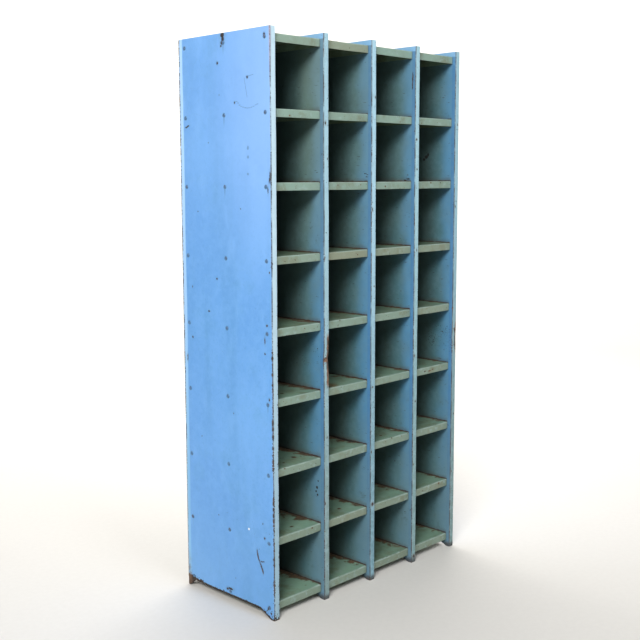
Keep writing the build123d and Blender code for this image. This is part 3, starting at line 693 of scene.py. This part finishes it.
# ------------------------------------------------------------------ folded uprights
def centre_line(path, rc, run):
    """Points, unit left normals and a running length of a filleted path; straight runs are split every `run`."""
    pts = [np.array(p, float) for p in path]
    out = []

    def line(a, b):
        n = max(1, int(math.ceil(np.linalg.norm(b - a) / run)))
        d = (b - a) / max(np.linalg.norm(b - a), 1e-12)
        for k in range(n + 1):
            out.append((a + (b - a) * k / n, np.array([-d[1], d[0]])))

    start = pts[0]
    for i in range(1, len(pts) - 1):
        a = pts[i] - pts[i - 1]; a /= np.linalg.norm(a)
        b = pts[i + 1] - pts[i]; b /= np.linalg.norm(b)
        turn = a[0] * b[1] - a[1] * b[0]
        th = math.acos(max(-1, min(1, float(a @ b))))
        tl = rc * math.tan(th / 2)
        p_in, p_out = pts[i] - a * tl, pts[i] + b * tl
        s = 1 if turn > 0 else -1
        na = np.array([-a[1], a[0]])
        c = p_in + na * s * rc
        line(start, p_in)
        steps = max(2, int(math.ceil(math.degrees(th) / 18)))
        for k in range(1, steps):
            ang = s * th * k / steps
            r = np.array([[math.cos(ang), -math.sin(ang)], [math.sin(ang), math.cos(ang)]])
            out.append((c + r @ (-na * s * rc), r @ na))
        start = p_out
    line(start, pts[-1])
    clean = [out[0]]
    for p, n in out[1:]:
        if np.linalg.norm(p - clean[-1][0]) > 1e-7:
            clean.append((p, n))
    P = np.array([p for p, n in clean])
    N = np.array([n for p, n in clean])
    S = np.concatenate([[0], np.cumsum(np.linalg.norm(np.diff(P, axis=0), axis=1))])
    return P, N, S


def foot_line(y):
    return np.interp(y, [0.0, 0.013, 0.060, 0.3388, 0.3708, 0.40], [0, 0, 0.022, 0.022, 0, 0])


def make_upright(index):
    bevel = index == 0
    h = T / 2
    path = [(0.0018, 0.013 - h), (0.020 - h, 0.013 - h), (0.020 - h, h), (h, h), (h, 0.0134), (h, 0.060), (h, 0.3388)]
    if bevel:
        path += [(h, 0.366), (h + 0.004, 0.3788 - h), (0.024, 0.3788 - h)]
    else:
        path += [(h, 0.3788 - h), (0.020, 0.3788 - h)]
    # straight-through points on the web must not be filleted, so build it in two passes
    bends = [p for p in path if p not in ((h, 0.0134), (h, 0.060), (h, 0.3388))]
    P, N, S = centre_line(bends, 0.0008 + h, 0.009)
    # exact foot corners
    web = (np.abs(P[:, 0] - h) < 1e-9) & (P[:, 1] > 0.0025) & (P[:, 1] < 0.365)
    for y in (0.0134, 0.060, 0.3388):
        cand = np.where(web)[0]
        k = cand[np.argmin(np.abs(P[cand, 1] - y))]
        P[k, 1] = y
    S = np.concatenate([[0], np.cumsum(np.linalg.norm(np.diff(P, axis=0), axis=1))])
    n = len(P)
    # outer side of the sheet is the left side of the path's travel or the right one: N points left
    A = P + N * h
    B = P - N * h
    loop = np.concatenate([A, B[::-1]])
    idx = np.concatenate([np.arange(n), np.arange(n)[::-1]])
    corner = lambda x, y: S[np.argmin(np.hypot(P[:, 0] - x, P[:, 1] - y))]
    s_left, s_right, s_in = corner(h, h), corner(0.020 - h, h), corner(0.020 - h, 0.013 - h)
    fold = np.abs(S - s_left)[idx]
    fold2 = np.minimum(np.abs(S - s_right), np.abs(S - s_in) + 0.002)[idx]
    zs = np.concatenate([np.linspace(0, 0.06, 9), np.linspace(0.06, HEIGHT, 181)[1:]])
    m = len(loop)
    on_web = (np.abs(P[:, 0] - h) < 3e-4) & (P[:, 1] > 0.0129)
    on_web = on_web[idx]
    X = np.tile(loop[:, 0], (len(zs), 1))
    Y = np.tile(loop[:, 1], (len(zs), 1))
    Z = np.tile(zs[:, None], (1, m))
    zb = np.where(on_web, foot_line(loop[:, 1]), 0.0)[None, :]
    low = Z < 0.06
    Z = np.where(low, zb + (0.06 - zb) * Z / 0.06, Z)
    # --- unevenness: edge sways a little, the sheet pillows between rivet rows
    sway_x, sway_y = waves(100 + index, 5, 0.3, 3.2), waves(140 + index, 5, 0.3, 4.0)
    small = waves(180 + index, 6, 4.0, 11.0)
    near = np.clip(1 - Y / 0.05, 0, 1)
    near = near * near * (3 - 2 * near)
    dx = near * (0.00055 * sway_x(Z) + 0.00022 * small(Z))
    dy = near * (0.00020 * sway_y(Z) + 0.00012 * small(Z + 0.37))
    Ze = even(Z)
    zt = ((Ze - (TOP0 - LIP)) % TIER) / TIER
    open_part = np.clip((zt - LIP / TIER) / (1 - LIP / TIER), 0, 1)
    bump_z = np.sin(np.pi * open_part) ** 2
    cell = np.floor((Ze - (TOP0 - LIP)) / TIER).astype(int) + 2
    r = np.random.default_rng(300 + index)
    amp_a, amp_b = r.uniform(-1, 1, 14), r.uniform(-1, 1, 14)
    fy = np.clip((Y - 0.02) / (0.348 - 0.02), 0, 1)
    pill = bump_z * (amp_a[np.clip(cell, 0, 13)] * np.sin(np.pi * fy) + 0.6 * amp_b[np.clip(cell, 0, 13)] * np.sin(2 * np.pi * fy))
    dx = dx + np.where(on_web[None, :], 0.00055 * pill, 0.0)
    if index == 0:      # the exposed panel: a broad roll
        roll = waves(77, 4, 0.4, 1.6)
        dx = dx + np.where(on_web[None, :], 0.0006 * np.sin(np.pi * fy) * roll(Z), 0.0)
    if index == 1:      # dented front edge
        dent = np.exp(-((Z - 0.700) / 0.024) ** 2) * np.clip(1 - Y / 0.045, 0, 1)
        dx = dx - 0.0021 * dent
        dy = dy + 0.0012 * dent
        kink = np.exp(-((Z - 0.712) / 0.007) ** 2) * np.clip(1 - Y / 0.02, 0, 1) * np.clip((X - 0.008) / 0.01, 0, 1)
        dx = dx - 0.0012 * kink
    if index == 4:
        nick = np.exp(-((Z - 0.702) / 0.020) ** 2) * np.clip(1 - Y / 0.03, 0, 1)
        dx = dx - 0.0014 * nick
    # the very top corners are a little bent
    tip = np.clip((Z - 1.56) / 0.04, 0, 1) ** 2 * np.clip(1 - Y / 0.06, 0, 1)
    dx = dx + tip * 0.0009 * (1 if index % 2 else -1)
    lim_lo, lim_hi = 0.0, DEPTH
    Y2 = np.clip(Y + dy, 0.0, lim_hi)
    verts = np.stack([X + dx + SX + index * PITCH, Y2 + SY, Z], axis=-1).reshape(-1, 3)
    faces = []
    inner_side = []
    for k in range(len(zs) - 1):
        a, b = k * m, (k + 1) * m
        for j in range(m):
            j2 = (j + 1) % m
            faces.append((a + j, a + j2, b + j2, b + j))
            inner_side.append(j < n)
    for ring in (0, (len(zs) - 1) * m):
        for j in range(n - 1):
            q = (ring + j, ring + j + 1, ring + 2 * n - 2 - j, ring + 2 * n - 1 - j)
            faces.append(q if ring == 0 else q[::-1])
            inner_side.append(False)
    me = bpy.data.meshes.new(UPRIGHTS[index])
    me.from_pydata(verts.tolist(), [], faces)
    me.update()
    put_attr(me, "fold", np.tile(fold, len(zs)))
    put_attr(me, "fold2", np.tile(fold2, len(zs)))
    put_attr(me, "boxy", np.tile((S < s_left - 0.0012)[idx].astype(float), len(zs)))
    bm = bmesh.new(); bm.from_mesh(me)
    bmesh.ops.recalc_face_normals(bm, faces=bm.faces)
    bm.to_mesh(me); bm.free()
    finish_mesh(me, 40)
    ob = bpy.data.objects.new("folded_" + UPRIGHTS[index], me)
    bpy.context.scene.collection.objects.link(ob)
    me.materials.append(MAT_SIDE if index == 0 else MAT_UP[index])
    me.materials.append(MAT_OUTER if index == 4 else MAT_INNER)
    # sheet faces that look to the right, behind the front fold, take the inner finish
    cen = np.empty(len(me.polygons) * 3); me.polygons.foreach_get("center", cen); cen = cen.reshape(-1, 3)
    nor = np.empty(len(me.polygons) * 3); me.polygons.foreach_get("normal", nor); nor = nor.reshape(-1, 3)
    x_loc = cen[:, 0] - (SX + index * PITCH)
    inner = (nor[:, 0] > 0.5) & (x_loc < 0.004 + (0.002 if bevel else 0)) & (cen[:, 1] - SY > 0.0135)
    mi = inner.astype(np.int32)
    me.polygons.foreach_set("material_index", mi)
    me.update()
    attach(ob, "root")
    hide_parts(UPRIGHTS[index])
    return ob


for i in range(5):
    make_upright(i)


# ------------------------------------------------------------------ shelf pans
def split_mesh(src, planes):
    """A copy of a CAD mesh with its flat faces merged and then cut by planes, so that it can be bent."""
    bm = bmesh.new()
    bm.from_mesh(src)
    bmesh.ops.remove_doubles(bm, verts=bm.verts, dist=1e-6)
    bmesh.ops.dissolve_limit(bm, angle_limit=math.radians(1.0), verts=bm.verts, edges=bm.edges)
    for axis, values in planes:
        no = [0, 0, 0]; no[axis] = 1
        for v in values:
            co = [0, 0, 0]; co[axis] = v
            bmesh.ops.bisect_plane(bm, geom=bm.verts[:] + bm.edges[:] + bm.faces[:], dist=1e-6, plane_co=co, plane_no=no)
    bmesh.ops.triangulate(bm, faces=[f for f in bm.faces if len(f.verts) > 4])
    bmesh.ops.recalc_face_normals(bm, faces=bm.faces)
    me = bpy.data.meshes.new("pan")
    bm.to_mesh(me)
    bm.free()
    return me


base = NODES["shelf_pan_bay1_tier0"]
base_lo = np.array([SX + T, SY + 0.013, TOP0])
planes = [
    (0, [base_lo[0] + v for v in (0.008, 0.02, 0.04, 0.06, 0.08, 0.10, 0.12, 0.14, 0.16, 0.18, 0.19)]),
    (1, [base_lo[1] + v for v in (0.006, 0.02, 0.04, 0.07, 0.10, 0.14, 0.18, 0.22, 0.26, 0.30, 0.34)]),
    (2, [base_lo[2] + v for v in (-0.006, -0.014)]),
]
pan_base = split_mesh(base.data, planes)
co = np.empty(len(pan_base.vertices) * 3)
pan_base.vertices.foreach_get("co", co)
co = co.reshape(-1, 3) - base_lo
rust_by_bay = {0: 1.0, 1: 0.75, 2: 0.55, 3: 0.45}
for c in range(4):
    for k in range(9):
        name = f"shelf_pan_bay{c + 1}_tier{k}"
        r = np.random.default_rng(1000 + 10 * c + k)
        me = pan_base.copy()
        me.name = name
        p = co.copy()
        f1, f2 = waves(2000 + 10 * c + k, 3, 2.0, 9.0), waves(3000 + 10 * c + k, 3, 2.0, 8.0)
        near = np.clip(1 - p[:, 1] / 0.05, 0, 1)
        low = np.clip(-p[:, 2] / LIP, 0, 1)
        mid = np.sin(np.pi * np.clip(p[:, 0] / 0.1988, 0, 1))
        p[:, 1] += near * (0.00022 * f1(p[:, 0]) + low * r.uniform(-0.0006, 0.0007))
        p[:, 2] += near * 0.00022 * f2(p[:, 0]) + near * (p[:, 0] / 0.1988 - 0.5) * r.uniform(-0.0010, 0.0010)
        sag = r.uniform(0.0003, 0.0013)
        p[:, 2] -= sag * mid * np.sin(np.pi * np.clip(p[:, 1] / 0.3646, 0, 1)) * (p[:, 2] > -0.0035)
        p[:, 2] -= 0.0004 * mid * near * r.uniform(-0.3, 1.0)
        if (c, k) == (1, 2):        # one shelf is pressed down along its right side
            p[:, 2] -= 0.0042 * np.exp(-((p[:, 1] - 0.085) / 0.050) ** 2) * np.clip(p[:, 0] / 0.1988, 0, 1) ** 2 * (p[:, 2] > -0.0035)
        off = base_lo + np.array([c * PITCH, 0, TOPS[k] - TOP0])
        me.vertices.foreach_set("co", (p + off).astype(np.float32).ravel())
        put_attr(me, "px", co[:, 0]); put_attr(me, "py", co[:, 1]); put_attr(me, "pz", co[:, 2])
        # lips darker on low shelves and lighter up high: painted light from above, plus a random tone per shelf
        tone = np.clip(0.25 + 0.085 * k + r.uniform(-0.12, 0.12) - 0.05 * c, 0, 1)
        put_attr(me, "tone", np.full(len(co), tone))
        put_attr(me, "tier", np.full(len(co), k / 8))
        put_attr(me, "brownlip", np.full(len(co), {(1, 8): 0.55, (1, 5): 0.60, (2, 5): 0.35, (3, 4): 0.30, (0, 5): 0.25, (0, 8): 0.25, (1, 1): 0.25, (3, 5): 0.30}.get((c, k), 0.08)))
        rusty = rust_by_bay[c] * np.clip(1.15 - 0.11 * k, 0.15, 1.0) * r.uniform(0.75, 1.1)
        put_attr(me, "rusty", np.full(len(co), rusty))
        me.update()
        finish_mesh(me, 35)
        me.materials.clear()
        me.materials.append(MAT_PAN)
        me.polygons.foreach_set("material_index", np.zeros(len(me.polygons), dtype=np.int32))
        ob = bpy.data.objects.new("pan_bay%d_tier%d" % (c + 1, k), me)
        bpy.context.scene.collection.objects.link(ob)
        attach(ob, "root")
        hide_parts(name)


# ------------------------------------------------------------------ back sheet, slightly uneven
def make_back():
    x0, x1, y0, z0, z1 = -0.4042, 0.4112, 0.1876, 0.023, 1.598
    nx, nz = 66, 130
    xs, zs = np.linspace(x0, x1, nx), np.linspace(z0, z1, nz)
    XX, ZZ = np.meshgrid(xs, zs)
    u = ((XX - (SX + 0.012)) % PITCH) / PITCH
    ZE = even(ZZ)
    v = ((ZE - (TOP0 - LIP / 2)) % TIER) / TIER
    cx = np.clip(np.floor((XX - (SX + 0.012)) / PITCH).astype(int) + 1, 0, 7)
    cz = np.clip(np.floor((ZE - (TOP0 - LIP / 2)) / TIER).astype(int) + 1, 0, 11)
    amp = np.random.default_rng(5).uniform(0.1, 1.0, (8, 12))
    bulge = 0.0010 * amp[cx, cz] * np.sin(np.pi * u) ** 2 * np.sin(np.pi * v) ** 2
    verts, faces = [], []
    for s, y in ((0, y0), (1, y0 + T)):
        verts.append(np.stack([XX, np.full_like(XX, y) - bulge, ZZ], -1).reshape(-1, 3))
    verts = np.concatenate(verts)
    N = nx * nz
    for a in range(nz - 1):
        for b in range(nx - 1):
            q = (a * nx + b, a * nx + b + 1, (a + 1) * nx + b + 1, (a + 1) * nx + b)
            faces.append(q)
            faces.append(tuple(N + t for t in q[::-1]))
    rim = [b for b in range(nx)] + [a * nx + nx - 1 for a in range(1, nz)] + [(nz - 1) * nx + b for b in range(nx - 2, -1, -1)] + [a * nx for a in range(nz - 2, 0, -1)]
    for t in range(len(rim)):
        p, q = rim[t], rim[(t + 1) % len(rim)]
        faces.append((q, p, p + N, q + N))
    me = bpy.data.meshes.new("back_sheet")
    me.from_pydata(verts.tolist(), [], faces)
    put_attr(me, "inside", np.concatenate([np.ones(N), np.zeros(N)]))
    bm = bmesh.new(); bm.from_mesh(me)
    bmesh.ops.recalc_face_normals(bm, faces=bm.faces)
    bm.to_mesh(me); bm.free()
    finish_mesh(me, 40)
    me.materials.append(MAT_BACK)
    ob = bpy.data.objects.new("back_sheet", me)
    bpy.context.scene.collection.objects.link(ob)
    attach(ob, "root")
    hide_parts("back_panel")


make_back()

# ------------------------------------------------------------------ rivets keep their CAD shape
for name in NODES:
    if name.startswith("rivets_"):
        ob = NODES[name]
        ob.data.materials.clear()
        ob.data.materials.append(MAT_RIVET_SIDE if name == "rivets_left_side_panel" else MAT_RIVET)

# ------------------------------------------------------------------ studio floor with a swept back
AZ = math.radians(44.778)
CAM = Vector((-2.23270, -2.10701, 1.20477))
fdir = Vector((math.sin(AZ), math.cos(AZ), 0))
rdir = Vector((math.cos(AZ), -math.sin(AZ), 0))


def make_floor():
    """A flat floor that sweeps up into a low round wall, far enough out for every view."""
    prof = [(0.0, 0.0), (0.5, 0.0), (1.2, 0.0), (2.4, 0.0), (3.6, 0.0), (4.4, 0.0)]
    R = 2.2
    for k in range(1, 17):
        a = math.pi / 2 * k / 16
        prof.append((4.4 + R * math.sin(a), R * (1 - math.cos(a))))
    prof.append((6.6, 3.4))
    seg = 72
    verts, faces = [(0.0, 0.0, 0.0)], []
    for r, z in prof[1:]:
        for k in range(seg):
            t = 2 * math.pi * k / seg
            verts.append((r * math.cos(t), r * math.sin(t), z))
    for k in range(seg):
        faces.append((0, 1 + k, 1 + (k + 1) % seg))
    for a in range(len(prof) - 2):
        for k in range(seg):
            k2 = (k + 1) % seg
            faces.append((1 + a * seg + k, 1 + (a + 1) * seg + k, 1 + (a + 1) * seg + k2, 1 + a * seg + k2))
    me = bpy.data.meshes.new("studio_floor")
    me.from_pydata(verts, [], faces)
    bm = bmesh.new(); bm.from_mesh(me)
    bmesh.ops.recalc_face_normals(bm, faces=bm.faces)
    bm.to_mesh(me); bm.free()
    me.shade_smooth()
    me.materials.append(MAT_FLOOR)
    ob = bpy.data.objects.new("studio_floor", me)
    bpy.context.scene.collection.objects.link(ob)


make_floor()

# ------------------------------------------------------------------ camera, fitted to the object's edges
pitch, roll = math.radians(7.207), math.radians(-0.342)
fwd = Vector((math.sin(AZ) * math.cos(pitch), math.cos(AZ) * math.cos(pitch), -math.sin(pitch)))
upv = rdir.cross(fwd)
r2 = math.cos(roll) * rdir + math.sin(roll) * upv
u2 = -math.sin(roll) * rdir + math.cos(roll) * upv
cam_data = bpy.data.cameras.new("camera")
cam = bpy.data.objects.new("camera", cam_data)
bpy.context.scene.collection.objects.link(cam)
cam.matrix_world = Matrix(((r2.x, u2.x, -fwd.x, CAM.x), (r2.y, u2.y, -fwd.y, CAM.y), (r2.z, u2.z, -fwd.z, CAM.z), (0, 0, 0, 1)))
cam_data.sensor_width = 36.0
cam_data.lens = 56.653
cam_data.shift_x, cam_data.shift_y = 0.04254, -0.01868
cam_data.clip_start, cam_data.clip_end = 0.05, 60.0
cam_data.dof.use_dof = False
bpy.context.scene.camera = cam


# ------------------------------------------------------------------ light
def area(name, loc, target, size, power, color=(1, 1, 1), size_y=None):
    l = bpy.data.lights.new(name, "AREA")
    l.energy, l.color = power, color
    l.shape = "RECTANGLE"
    l.size, l.size_y = size, size_y or size
    o = bpy.data.objects.new(name, l)
    bpy.context.scene.collection.objects.link(o)
    o.location = loc
    o.rotation_mode = "QUATERNION"
    o.rotation_quaternion = (Vector(target) - Vector(loc)).to_track_quat("-Z", "Y")
    o.visible_camera = False
    return o


area("key", (-4.1, -2.45, 3.6), (-0.1, -0.1, 0.95), 1.7, 300, (1.0, 0.985, 0.96))
area("front_fill", (-0.6, -4.0, 3.9), (0.0, 0.0, 1.0), 1.6, 70, (0.93, 0.97, 1.0))
area("wall_wash", (1.2, 1.4, 4.4), (4.2, 4.4, 0.8), 2.6, 420, (1.0, 0.98, 0.95))

world = bpy.data.worlds.new("studio_world")
bpy.context.scene.world = world
world.use_nodes = True
bg = world.node_tree.nodes["Background"]
bg.inputs["Color"].default_value = (0.93, 0.96, 1.0, 1.0)
bg.inputs["Strength"].default_value = 0.17

scene = bpy.context.scene
scene.view_settings.view_transform = "Standard"
scene.view_settings.look = "None"
scene.view_settings.exposure = 0.0
scene.view_settings.gamma = 1.0
